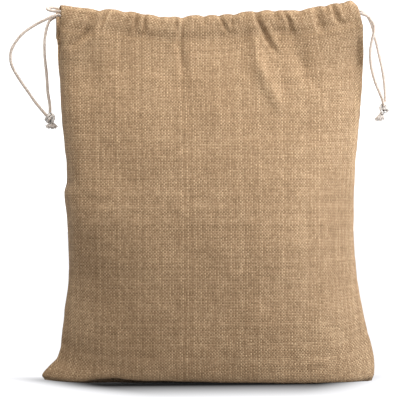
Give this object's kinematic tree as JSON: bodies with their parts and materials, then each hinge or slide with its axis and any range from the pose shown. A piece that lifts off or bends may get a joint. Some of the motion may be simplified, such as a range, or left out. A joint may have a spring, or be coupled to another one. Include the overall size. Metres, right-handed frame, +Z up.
{
  "type": "drawstring gift pouch",
  "caption": "Standing jute sack with an open mouth, closed by cotton drawcords that run through a front and a back casing and hang knotted at both sides.",
  "frame": {"origin": "on the ground, at the middle of the bag's base", "axes": "+Z up, +X to the right seen from the front, -Y towards the front"},
  "size_m": [0.4077, 0.1204, 0.404],
  "materials": {
    "jute": "coarse plain weave, natural",
    "jute_inside": "coarse plain weave, raw inside",
    "thread": "spun sewing thread",
    "cotton_cord": "twisted cotton cord, off-white",
    "frayed_cotton": "frayed cotton fibre"
  },
  "bodies": {
    "bag": {"front_panel": "jute", "back_panel": "jute", "front_casing": "jute", "back_casing": "jute", "left_front_slit_hem": "jute_inside", "left_back_slit_hem": "jute_inside", "right_front_slit_hem": "jute_inside", "right_back_slit_hem": "jute_inside", "left_side_seam": "jute_inside", "right_side_seam": "jute_inside", "bottom_seam": "jute_inside", "front_casing_stitches": "thread", "back_casing_stitches": "thread", "left_seam_thread": "thread", "right_seam_thread": "thread", "bottom_seam_thread": "thread"},
    "left_drawcord": {"left_cord_run": "cotton_cord"},
    "right_drawcord": {"right_cord_run": "cotton_cord"},
    "left_cord_ends": {"left_cord_front_end": "cotton_cord", "left_cord_back_end": "cotton_cord", "left_knot": "cotton_cord", "left_tassel": "frayed_cotton"},
    "right_cord_ends": {"right_cord_front_end": "cotton_cord", "right_cord_back_end": "cotton_cord", "right_knot": "cotton_cord", "right_tassel": "frayed_cotton"}
  },
  "joints": [
    {"name": "right_cord_pull", "type": "slide", "parent": "bag", "child": "right_drawcord", "axis": [1, 0, 0], "range_m": [0, 0.1], "deforming": ["front_panel", "back_panel", "front_casing", "back_casing", "front_casing_stitches", "back_casing_stitches", "left_front_slit_hem", "left_back_slit_hem", "left_side_seam", "left_seam_thread"]},
    {"name": "left_cord_pull", "type": "slide", "parent": "bag", "child": "left_drawcord", "axis": [-1, 0, 0], "range_m": [0, 0.1], "deforming": ["front_panel", "back_panel", "front_casing", "back_casing", "front_casing_stitches", "back_casing_stitches", "right_front_slit_hem", "right_back_slit_hem", "right_side_seam", "right_seam_thread"]},
    {"name": "right_ends_swing", "type": "hinge", "parent": "right_drawcord", "child": "right_cord_ends", "pos_m": [0.161, 0, 0.3992], "axis": [0, -1, 0], "range_deg": [0, 85]},
    {"name": "left_ends_swing", "type": "hinge", "parent": "left_drawcord", "child": "left_cord_ends", "pos_m": [-0.161, 0, 0.3897], "axis": [0, 1, 0], "range_deg": [0, 85]}
  ]
}
